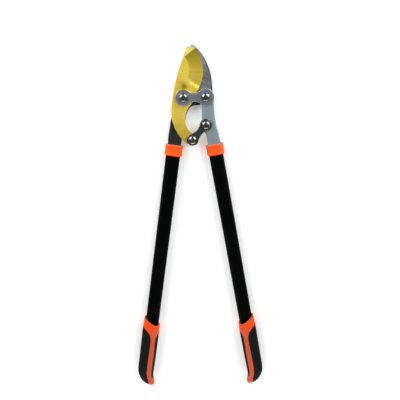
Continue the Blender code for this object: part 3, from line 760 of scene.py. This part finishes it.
# The right tang's bevel, in the same way
TANG_FINE_EDGE = 0.0003
TANG_BEVEL_WIDTH = 0.0014
TANG_BEVEL_DEPTH = 0.0007
TANG_BELOW_BOSS = (-0.012, -0.018)
TANG_ABOVE_COLLAR = (COLLAR_MOUTH, COLLAR_MOUTH + 0.004)
TANG_PAST_HOLE = (0.0065, 0.0115)
PLATE_EDGE = 0.0008


def tang_tail(side, inner_shoulder, outer_shoulder):
    """The part of a tang inside its collar and tube, from the inner side round to the outer side."""
    corner = 0.004
    points = [(inner_shoulder, TANG_SHOULDER), (TANG_NECK, TANG_SHOULDER), (TANG_NECK, TANG_END - corner),
              (TANG_NECK - corner, TANG_END), (corner - TANG_NECK, TANG_END), (-TANG_NECK, TANG_END - corner),
              (-TANG_NECK, TANG_SHOULDER), (-outer_shoulder, TANG_SHOULDER)]
    return [(AXES[side] @ Vector((inward, -along, 0))).to_2d() for inward, along in points]


def pin_hole(side):
    """The hole for the tang's pin."""
    return circle((AXES[side] @ Vector((0, -PIN_AT, 0))).to_2d(), PIN_RADIUS + GAP, 24)


def hook_edge(point):
    """A wide bevel down the hook's outer side that fades at the tip and below the pivots."""
    from_tip = (point - HOOK_TIP).length
    rim = eased(point.x, *RIM_ACROSS) * eased(point.y, *RIM_ALONG) * eased(from_tip, *RIM_FROM_TIP)
    rim *= 1 - RIM_LOSS * eased(point.y, *RIM_NARROWS)
    fine = min(HOOK_FINE_EDGE, SHOULDER_EDGE + TIP_GROWTH * from_tip)
    if point.y < COLLAR_MOUTH:
        fine = SHOULDER_EDGE
    return fine + RIM_WIDTH * rim, fine + RIM_DEPTH * rim


def add_ground(mesh, test):
    """Mark the faces whose middle and normal pass a test as ground."""
    store(mesh, "ground", "FACE", [float(test(face.center, face.normal)) for face in mesh.polygons])


def build_hook():
    """Counter-blade, web and left tang in one forging."""
    outline = smooth(scaled(HOOK_OUTER))
    outline += arc(HANDLE_PIVOT, HOOK_BOSS_RADIUS, 24, -125, 40)
    outline += smooth(scaled(WEB_UNDERSIDE))
    outline += tang_tail("left", 0.0126, 0.0124)
    outline += smooth(scaled(HOOK_BACK))
    outline += arc(MAIN_PIVOT, HOOK_BOSS_RADIUS, 196, 84, 30)
    outline += smooth(scaled(HOOK_THROAT))
    outline = [Vector((p.x, min(p.y, cad_high.y))) for p in outline]
    hole = SHAFT_RADIUS + GAP
    loops = [outline, circle(MAIN_PIVOT, hole), circle(HANDLE_PIVOT, hole), pin_hole("left")]
    low, high = layer("hook_blade")
    mesh = plate_mesh("hook", loops, low, high, hook_edge, BEVEL)
    mesh.update()
    add_ground(mesh, lambda centre, normal: normal.z > 0.99)
    piece("hook_blade", mesh, "hook_steel", flat_faces=True)


GRIND_CREASE = math.radians(6)
GROUND_FROM = 0.00008        # a face this far below the flat counts as ground
BLADE_EDGE_LEAST = (0.00004, 0.00002)       # edge width and depth where the blade is thinnest
BLADE_EDGE_GROWTH = (0.00055, 0.0005)       # what the blade's full thickness adds
# Painted light and shade on the coating, and its darker tail: where each part comes in or fades, in metres,
# or in degrees about the grind centre
# the painted light and shade is read this share of the way in from each face's corner
PAINTED_LIGHT_INWARDS = 0.02          # the tone is taken this share of the way in from a face's corner
FACET_HIGHLIGHT = 1.2
FACET_FADE = 0.014
SHADE_ENTRY = (0.0, 0.002)
SHADE_ANGLES = (-18, 38)
SHADE_LEAST = 0.22
BAND_HIGHLIGHT = 1.2
BAND_ENTRY = (-0.004, 0.002)
BAND_FADE = (0.004, 0.016)
BAND_LOSS = 1.3
DIMPLE_SHADE = -1.2
TAIL_DARKENING = -0.55
TAIL_FADE = (-0.030, -0.085)
# The points that carry the blade's upper face
GRID_ROWS = 16
GRID_BEYOND = 2              # rows added past each side of the grind
GRID_ANGLES = (-52, 62)
GRID_STEPS = 120
CREASE_POINTS = 52
CREASE_SPACING = 0.0006
CREASE_LEAD = 0.003          # how far the crease's points start before its first end
CLEAR_OF_CREASE = 0.0005
CLEAR_OF_OUTLINE = 0.0006


def hollow_depth(point):
    """How deep the wheel has cut below the flat face at a point, before it runs out."""
    u = ((point - GRIND_CENTRE).length - GRIND_START) / (EDGE_RADIUS - GRIND_START)
    if u <= 0:
        return 0.0
    return (BLADE_THICK - EDGE_LAND) * u + 4 * HOLLOW * u * (1 - u)


def direction(line):
    """The unit vector along a line."""
    return (line[1] - line[0]).normalized()


def past_line(point, line):
    """How far a point lies to the left of a line."""
    along = direction(line)
    return (point - line[0]).dot(Vector((-along.y, along.x)))


def grind_depth(point):
    """The depth of the blade's ground faces: hollow, run-out, tip facet and dimple."""
    depth = hollow_depth(point) * eased(past_line(point, RUN_OUT) / RUN_OUT_WIDTH + 0.5)
    beyond = past_line(point, TIP_CREASE)
    if beyond > 0:
        start, along = TIP_CREASE[0], direction(TIP_CREASE)
        foot = start + along * (point - start).dot(along)
        depth = hollow_depth(foot) + TIP_SLOPE * beyond
    place, radius, deep = DIMPLE
    depth += deep * math.exp(-((point - place).length / radius) ** 2)
    return min(depth, BLADE_THICK - EDGE_LAND)


def blade_top(point):
    """The level of the blade's upper face."""
    return BLADE_HIGH - grind_depth(point)


def blade_painted_light(point):
    """Painted light and shade on the coating: 0 on the flat, down to -1 for painted shade on the upper grind
    and in the dimple and for the darker tail, up to 1 for painted highlights on the tip facet and the run-out
    band.
    """
    beyond = past_line(point, TIP_CREASE)
    # painted highlight on the tip facet
    if beyond > 0:
        return eased(FACET_HIGHLIGHT - beyond / FACET_FADE)
    past = past_line(point, RUN_OUT)
    across = point - GRIND_CENTRE
    outward = across.length - GRIND_START
    # painted shade across the grind, deepest towards its upper end
    upper = eased(math.degrees(math.atan2(across.y, across.x)), *SHADE_ANGLES)
    shade = SHADE_LEAST + (1 - SHADE_LEAST) * upper
    tone = -eased(outward, *SHADE_ENTRY) * eased(past / RUN_OUT_WIDTH + 0.5) * shade
    # painted highlight along the run-out band
    band = eased(outward, *BAND_ENTRY) * (1 - BAND_LOSS * eased(outward, *BAND_FADE))
    tone += BAND_HIGHLIGHT * band * math.exp(-(past / (0.5 * RUN_OUT_WIDTH)) ** 2)
    # painted shade in the dimple
    place, radius, _ = DIMPLE
    tone += DIMPLE_SHADE * math.exp(-((point - place).length / radius) ** 2)
    # the colour darkens towards the tail's lower end
    tone += TAIL_DARKENING * eased(point.y, *TAIL_FADE)
    return min(max(tone, -1.0), 1.0)


def blade_edge(point):
    """A soft edge that vanishes where the grind has thinned the blade."""
    left = 1 - grind_depth(point) / (BLADE_THICK - EDGE_LAND)
    return tuple(least + growth * left for least, growth in zip(BLADE_EDGE_LEAST, BLADE_EDGE_GROWTH))


def blade_grid(outlines):
    """Free points in rows about the grind centre, kept clear of the outline and the holes."""
    start, along = TIP_CREASE[0], direction(TIP_CREASE)
    crease = [start + along * (i * CREASE_SPACING - CREASE_LEAD) for i in range(CREASE_POINTS)]
    points = []
    for i in range(-GRID_BEYOND, GRID_ROWS + GRID_BEYOND):
        radius = GRIND_START + (EDGE_RADIUS - GRIND_START) * i / GRID_ROWS
        points += arc(GRIND_CENTRE, radius, *GRID_ANGLES, GRID_STEPS)
    free = []
    for point in crease + points:
        clear = min((point - vert).length for outline in outlines for vert in outline)
        near_crease = point not in crease and min((point - c).length for c in crease) < CLEAR_OF_CREASE
        if clear > CLEAR_OF_OUTLINE and not near_crease and inside(point, outlines[0]):
            if not any(inside(point, hole) for hole in outlines[1:]):
                free.append(point)
    return free


def build_blade():
    """Crescent blade with a hollow-ground edge, and the tail that the link drives."""
    outline = arc(GRIND_CENTRE, EDGE_RADIUS, EDGE_TOP, EDGE_BOTTOM, 90)
    outline += smooth(scaled(BLADE_ROOT))
    outline += arc(BLADE_LINK_PIVOT, TAIL_BOSS_RADIUS, 62, -112, 36)
    outline += smooth(scaled(BLADE_SPINE))
    outline += smooth(scaled(BLADE_TIP))
    loops = [outline, circle(MAIN_PIVOT, SLEEVE_RADIUS + GAP), circle(BLADE_LINK_PIVOT, TAIL_HOLE_RADIUS)]
    mesh = plate_mesh("blade", loops, BLADE_LOW, BLADE_HIGH, blade_edge, ROUND, blade_top, blade_grid,
                      crease=GRIND_CREASE)
    mesh.update()
    add_ground(mesh, lambda centre, normal: normal.z > 0.5 and grind_depth(centre.to_2d()) > GROUND_FROM)
    # painted light and shade, stored per face corner as the tone attribute
    painted_light = []
    for face in mesh.polygons:
        for number in face.vertices:
            corner = mesh.vertices[number].co.lerp(face.center, PAINTED_LIGHT_INWARDS)
            painted_light.append(blade_painted_light(corner.to_2d()))
    store(mesh, "tone", "CORNER", painted_light)
    piece("cutting_blade", mesh, "blade_coating", flat_faces=True)


def build_right_tang():
    """Flat tang of the right handle, bevelled along both sides."""
    outline = arc(HANDLE_PIVOT, TANG_BOSS_RADIUS, -8, 236, 50)
    outline += smooth(scaled(TANG_INNER))
    outline += tang_tail("right", 0.0124, 0.0126)
    outline += smooth(scaled(TANG_OUTER))
    loops = [outline, circle(HANDLE_PIVOT, SLEEVE_RADIUS + GAP), circle(HANDLE_LINK_PIVOT, LINK_HOLE_RADIUS),
             pin_hole("right")]
    low, high = layer("right_tang")

    def edge(point):
        if point.y < COLLAR_MOUTH:
            return SHOULDER_EDGE, SHOULDER_EDGE
        clear = eased((point - HANDLE_LINK_PIVOT).length, *TANG_PAST_HOLE)
        side = eased(point.y, *TANG_BELOW_BOSS) * eased(point.y, *TANG_ABOVE_COLLAR) * clear
        fine = TANG_FINE_EDGE * (1 + clear)
        return fine + TANG_BEVEL_WIDTH * side, fine + TANG_BEVEL_DEPTH * side

    piece("right_tang", plate_mesh("tang", loops, low, high, edge, BEVEL), "tang_paint", flat_faces=True)


def build_plates():
    """The tie plate across the upper pivots, and the two plates of the link."""
    hole = SHAFT_RADIUS + GAP
    tie = [tie_outline(MAIN_PIVOT, TIE_MAIN_RADIUS, HANDLE_PIVOT, TIE_HANDLE_RADIUS, TIE_WAIST),
           circle(MAIN_PIVOT, hole), circle(HANDLE_PIVOT, hole)]
    link = [tie_outline(BLADE_LINK_PIVOT, LINK_RADIUS, HANDLE_LINK_PIVOT, LINK_RADIUS, LINK_WAIST),
            circle(BLADE_LINK_PIVOT, hole), circle(HANDLE_LINK_PIVOT, hole)]
    for node, loops, slot in (("tie_plate", tie, "plate_steel"), ("link_plate_front", link, "link_steel"),
                              ("link_plate_back", link, "link_steel")):
        low, high = layer(node)
        mesh = plate_mesh(node, loops, low, high, lambda point: (PLATE_EDGE, PLATE_EDGE))
        piece(node, mesh, slot, flat_faces=True)


# --- pivot hardware
def bolt_profile(low, high):
    """Domed head on a thin flange, shaft, threaded end and its chamfer."""
    seat = high - HEAD_HEIGHT - GAP + 0.00003       # a hair above the plate
    flange = 0.0013
    dome_radius = HEAD_RADIUS - 0.0006
    dome = high - seat - flange
    dome_angle = math.radians(84)
    steps = 18
    profile = []
    for i in range(steps + 1):
        angle = dome_angle * i / steps
        profile.append((dome_radius * math.sin(angle) / math.sin(dome_angle),
                        seat + flange + dome * math.cos(angle)))
    profile[0] = (0, high)
    profile += [(dome_radius, seat + flange), (HEAD_RADIUS - 0.0003, seat + flange),
                (HEAD_RADIUS - 0.0001, seat + flange - 0.0001), (HEAD_RADIUS, seat + flange - 0.0003),
                (HEAD_RADIUS, seat + 0.0002), (HEAD_RADIUS - 0.0002, seat), (SHAFT_RADIUS, seat)]
    pitch = 0.0008
    groove = 0.0004
    level = low + 10 * pitch
    while level > low + 2 * pitch:
        profile += [(SHAFT_RADIUS, level), (SHAFT_RADIUS - groove, level - pitch / 2)]
        level -= pitch
    profile += [(SHAFT_RADIUS, level), (SHAFT_RADIUS, low + 0.0005), (SHAFT_RADIUS - 0.0006, low), (0, low)]
    return profile


def ring_rings(centre, inner, outer, low, high, edge):
    """The rings of a washer with rounded edges, ready to be joined end to end."""
    profile = [(inner, low), (inner, high), (outer - edge, high), (outer - edge * 0.3, high - edge * 0.3),
               (outer, high - edge), (outer, low + edge), (outer - edge * 0.3, low + edge * 0.3),
               (outer - edge, low)]
    return [[Vector((p.x, p.y, level)) for p in circle(centre, radius, 60)] for radius, level in profile]


def nut_rings(centre, low, high):
    """The rings of a hexagon nut with both faces chamfered, ready to be joined end to end."""
    count = 72
    lead = 0.0004                # the thread's chamfer
    hole = SHAFT_RADIUS + 0.0001
    mouth = hole + 0.0005
    face = NUT_FLATS * 0.475     # the flat part of each face
    profile = [(hole, low + lead, 0), (hole, high - lead, 0), (mouth, high, 0), (face, high, 0),
               (None, high, -1), (None, low, 1), (face, low, 0), (mouth, low, 0)]
    rings = []
    for radius, level, way in profile:
        slope = way * math.tan(math.radians(30))
        ring = []
        for i in range(count):
            angle = 2 * math.pi * i / count
            reach = radius or NUT_FLATS / 2 / math.cos(angle % (math.pi / 3) - math.pi / 6)
            ring.append(Vector((centre.x + reach * math.cos(angle), centre.y + reach * math.sin(angle),
                                level + slope * (reach - face))))
        rings.append(ring)
    return rings


def build_pivots():
    """Bolt, washer and nut of each pivot."""
    for name in ("main_pivot", "handle_pivot", "blade_link", "handle_link"):
        centre = pivot(name)
        low, high = layer(name + "_bolt")
        piece(name + "_bolt", turned_mesh("bolt", bolt_profile(low, high), centre), "bolt_chrome")
        low, high = layer(name + "_washer")
        rings = ring_rings(centre, SHAFT_RADIUS + GAP, WASHER_RADIUS, low, high, 0.0003)
        piece(name + "_washer", loft_mesh("washer", rings, closed=True), "zinc")
        low, high = layer(name + "_nut")
        piece(name + "_nut", loft_mesh("nut", nut_rings(centre, low, high), closed=True), "zinc")


# --- handles
def section(outline, along, lift=0.0):
    """A section across a handle, at a distance along it, in the handle's own axes."""
    return [Vector((p.x, -along, p.y + lift)) for p in outline]


# A collar's outside, in millimetres: distance in from an end, and how far the surface is set back there
COLLAR_MOUTH_BEAD = [(0, 2.4), (0.2, 1.4), (0.7, 0.6), (1.4, 0.15), (2.2, 0), (3.0, 0.12), (3.7, 0.5),
                     (4.3, 0.8), (5.0, 0.9)]
COLLAR_WAIST = 0.8
COLLAR_END_BEAD = [(5.4, 0.9), (4.7, 0.8), (4.1, 0.5), (3.4, 0.12), (2.5, 0), (1.4, 0.1), (0.7, 0.5),
                   (0.2, 1.1), (0, 1.8)]


def collar_mesh(slot_low, slot_high):
    """Moulded cup with a bead round each end, a slot for its tang and a bore for its tube."""
    end = COLLAR_HALF_LENGTH
    slot_size = (2 * TANG_HALF_WIDTH + 0.0012, slot_high - slot_low)
    lift = (slot_low + slot_high) / 2
    bore = (TUBE_WIDTH + GAP, TUBE_DEPTH + GAP)
    ledge = TUBE_TOP - GAP
    rings = [section(oval(*slot_size, power=8), ledge, lift),
             section(oval(*slot_size, power=8), -end + 0.0004, lift),
             section(oval(slot_size[0] + 0.0008, slot_size[1] + 0.0008, power=8), -end, lift)]
    outside = [(at * MM - end, smaller) for at, smaller in COLLAR_MOUTH_BEAD] + [(0.0, COLLAR_WAIST)]
    outside += [(end - at * MM, smaller) for at, smaller in COLLAR_END_BEAD]
    for along, smaller in outside:
        rings.append(section(oval(COLLAR_WIDTH - 2 * smaller * MM, COLLAR_DEPTH - 2 * smaller * MM), along))
    rings += [section(oval(bore[0] + 0.0006, bore[1] + 0.0006), end),
              section(oval(*bore), end - 0.0003),
              section(oval(*bore), ledge)]
    return loft_mesh("collar", rings, closed=True)


def tube_mesh():
    """Hollow oval tube with soft ends and a hole through both faces for the tang's pin."""
    soft = 0.0003
    inner = (TUBE_WIDTH - 2 * TUBE_WALL, TUBE_DEPTH - 2 * TUBE_WALL)
    outer = (TUBE_WIDTH, TUBE_DEPTH)
    shaved = (TUBE_WIDTH - 2 * soft, TUBE_DEPTH - 2 * soft)
    rings = [section(oval(*inner), TUBE_END), section(oval(*inner), TUBE_TOP),
             section(oval(*shaved), TUBE_TOP), section(oval(*outer), TUBE_TOP + soft)]
    lengths = 24
    for i in range(1, lengths):
        rings.append(section(oval(*outer), TUBE_TOP + (TUBE_END - TUBE_TOP) * i / lengths))
    rings += [section(oval(*outer), TUBE_END - soft), section(oval(*shaved), TUBE_END)]
    tube = loft_mesh("tube", rings, closed=True)
    hole = prism_mesh("pin_hole", circle(Vector((0, -PIN_AT)), PIN_RADIUS + GAP, 24), -THROUGH, THROUGH)
    return boolean(tube, [hole])


def grip_body(name, shrink):
    """A grip's whole outer form, shrunk a little, with its slanted top and its bore."""
    count = 88
    power = 2 / 2.5
    rings = []
    for along, outer, inner, depth in smooth([Vector(station) for station in GRIP_STATIONS], 6):
        centre = (outer + inner) / 2
        half = (inner - outer) / 2 - shrink / MM
        depth -= shrink / MM
        ring = []
        for i in range(count):
            angle = 2 * math.pi * i / count
            across = signed_power(math.cos(angle), power)
            up = signed_power(math.sin(angle), power)
            ring.append(Vector((centre + half * across, -along, depth * up)) * MM)
        rings.append(ring)
    above = smooth(scaled(RING_TOP, -1)) + scaled(PAST_TOP, -1)
    bore = oval(TUBE_WIDTH + GAP, TUBE_DEPTH + GAP)
    hollow = loft_mesh("bore", [section(bore, 0.33), section(bore, TUBE_END + GAP)])
    return boolean(loft_mesh(name, rings), [prism_mesh("ring_top", above, -THROUGH, THROUGH), hollow])


def core_regions():
    """The core's places in a grip: ring and toe right through, and a stripe inlaid in both faces."""
    steps = 8
    outer_side = smooth(scaled(CORE_OUTER_SIDE + CORE_STRIPE_OUTER, -1), steps)
    inner_side = smooth(scaled(CORE_STRIPE_INNER + CORE_INNER_SIDE, -1), steps)
    toe_end = scaled(TOE_END, -1)
    past_top = scaled(PAST_TOP, -1)
    stripe = outer_side + toe_end + inner_side + past_top
    ring = outer_side[:4 * steps + 1] + inner_side[5 * steps:] + past_top
    toe = outer_side[9 * steps:] + toe_end + inner_side[:14]
    return [("ring", ring, -THROUGH, THROUGH), ("toe", toe, -THROUGH, THROUGH),
            ("front", stripe, INLAY_FLOOR, THROUGH), ("back", stripe, -THROUGH, -INLAY_FLOOR)]


CORE_SHRINK = 0.00055
SLEEVE_SHRINK = 0.00028


def grip_meshes():
    """The orange core, and the black sleeve that stands a little proud of it."""
    parting = 0.00012
    sleeve_cuts = []
    core_parts = []
    for name, loop, low, high in core_regions():
        sleeve_cuts.append(prism_mesh(name, grown(loop, parting), low - parting, high + parting))
        core_parts.append(prism_mesh(name, loop, low, high))
    joined = boolean(core_parts[0], core_parts[1:], "UNION")
    core = boolean(grip_body("core", CORE_SHRINK), [joined], "INTERSECT")
    sleeve = boolean(grip_body("sleeve", SLEEVE_SHRINK), sleeve_cuts)
    return core, sleeve


def build_handles():
    """Collar, tube and grip of both handles."""
    tube = tube_mesh()
    core, sleeve = grip_meshes()
    for side, tang in (("left", "hook_blade"), ("right", "right_tang")):
        axes = AXES[side]
        low, high = layer(tang)
        collar = collar_mesh(low - GAP - axes.translation.z, high + GAP - axes.translation.z)
        piece(side + "_collar", placed(collar, axes), "collar_orange")
        piece(side + "_tube", placed(tube, axes), "tube_black")
        piece(side + "_grip_core", placed(core, axes), "core_orange")
        piece(side + "_grip_sleeve", placed(sleeve, axes), "sleeve_black")


def finish_hidden():
    """Better materials for the CAD nodes that stay: bearing sleeves, pins and tube plugs."""
    for name, node in frame["nodes"].items():
        if node.hide_render:
            continue
        if name.endswith("_sleeve"):
            slot = "bronze"
        elif name.endswith("_pin"):
            slot = "zinc"
        else:
            slot = "plug_black"
        node.material_slots[0].material = MATERIALS[slot]


# --- studio
FLOOR_TONES = [(0.95, 0.95, 0.95), (0.97, 0.97, 0.97)]
FLOOR_GLOW = 0.22
WORLD_LIGHT = 0.20           # how brightly the world lights the tool
WORLD_SHOWN = 0.75           # and how brightly it shows
SOFTBOXES = [                # name, place, target, width, height, power
    ("beyond_left", (-1.20, 0.90, 0.88), (0.0, -0.08, 0.02), 1.60, 1.60, 40.0),
    ("beyond_right", (1.20, 0.95, 0.88), (0.02, -0.08, 0.02), 1.60, 1.60, 40.0),
    ("below", (0.03, -1.90, 0.42), (0.02, -0.30, 0.0), 2.20, 0.32, 20.0),
]


def build_studio():
    """Pale floor, two low softboxes beyond the tip, one below the grips, and an even pale world."""
    bpy.ops.mesh.primitive_plane_add(size=8, location=(0, 0, 0))
    floor = bpy.context.object
    floor.name = "floor"
    pale = Graph("floor_pale")
    clouds = pale.blend(pale.ranged(pale.noise(3.0), 0, 1), *(toned(tone) for tone in FLOOR_TONES))
    pale.drive(Base_Color=clouds, Roughness=0.8, Specular_IOR_Level=0.1,
               Emission_Color=(1, 1, 1, 1), Emission_Strength=FLOOR_GLOW)
    floor.data.materials.append(pale.material)

    world = bpy.data.worlds.new("studio")
    world.use_nodes = True
    background = world.node_tree.nodes["Background"]
    background.inputs["Color"].default_value = (1, 1, 1, 1)
    seen = world.node_tree.nodes.new("ShaderNodeLightPath").outputs["Is Camera Ray"]
    strength = world.node_tree.nodes.new("ShaderNodeMapRange")
    strength.inputs["To Min"].default_value = WORLD_LIGHT
    strength.inputs["To Max"].default_value = WORLD_SHOWN
    world.node_tree.links.new(seen, strength.inputs["Value"])
    world.node_tree.links.new(strength.outputs[0], background.inputs["Strength"])
    bpy.context.scene.world = world

    for name, place, target, width, height, power in SOFTBOXES:
        light = bpy.data.lights.new(name, "AREA")
        light.shape = "RECTANGLE"
        light.size = width
        light.size_y = height
        light.energy = power
        lamp = new_object(name, light)
        lamp.location = place
        lamp.rotation_euler = (Vector(target) - Vector(place)).to_track_quat("-Z", "Y").to_euler()
    bpy.context.scene.view_settings.view_transform = "Standard"


def build_camera():
    """A camera over the handles, looking down past the head at a slight tilt."""
    place = Vector((0.0322, 0.0722, 0.952))
    target = Vector((0.02585, -0.1971, 0.01275))
    up_hint = Vector((0.02365, 0.99972, 0))
    back = (place - target).normalized()
    across = up_hint.cross(back).normalized()
    up = back.cross(across)
    camera = new_object("camera", bpy.data.cameras.new("camera"))
    camera.matrix_world = Matrix.Translation(place) @ Matrix((across, up, back)).transposed().to_4x4()
    camera.data.lens = 45.18
    camera.data.sensor_width = 36
    bpy.context.scene.camera = camera


build_camera()
build_studio()
build_hook()
build_blade()
build_right_tang()
build_plates()
build_pivots()
build_handles()
finish_hidden()
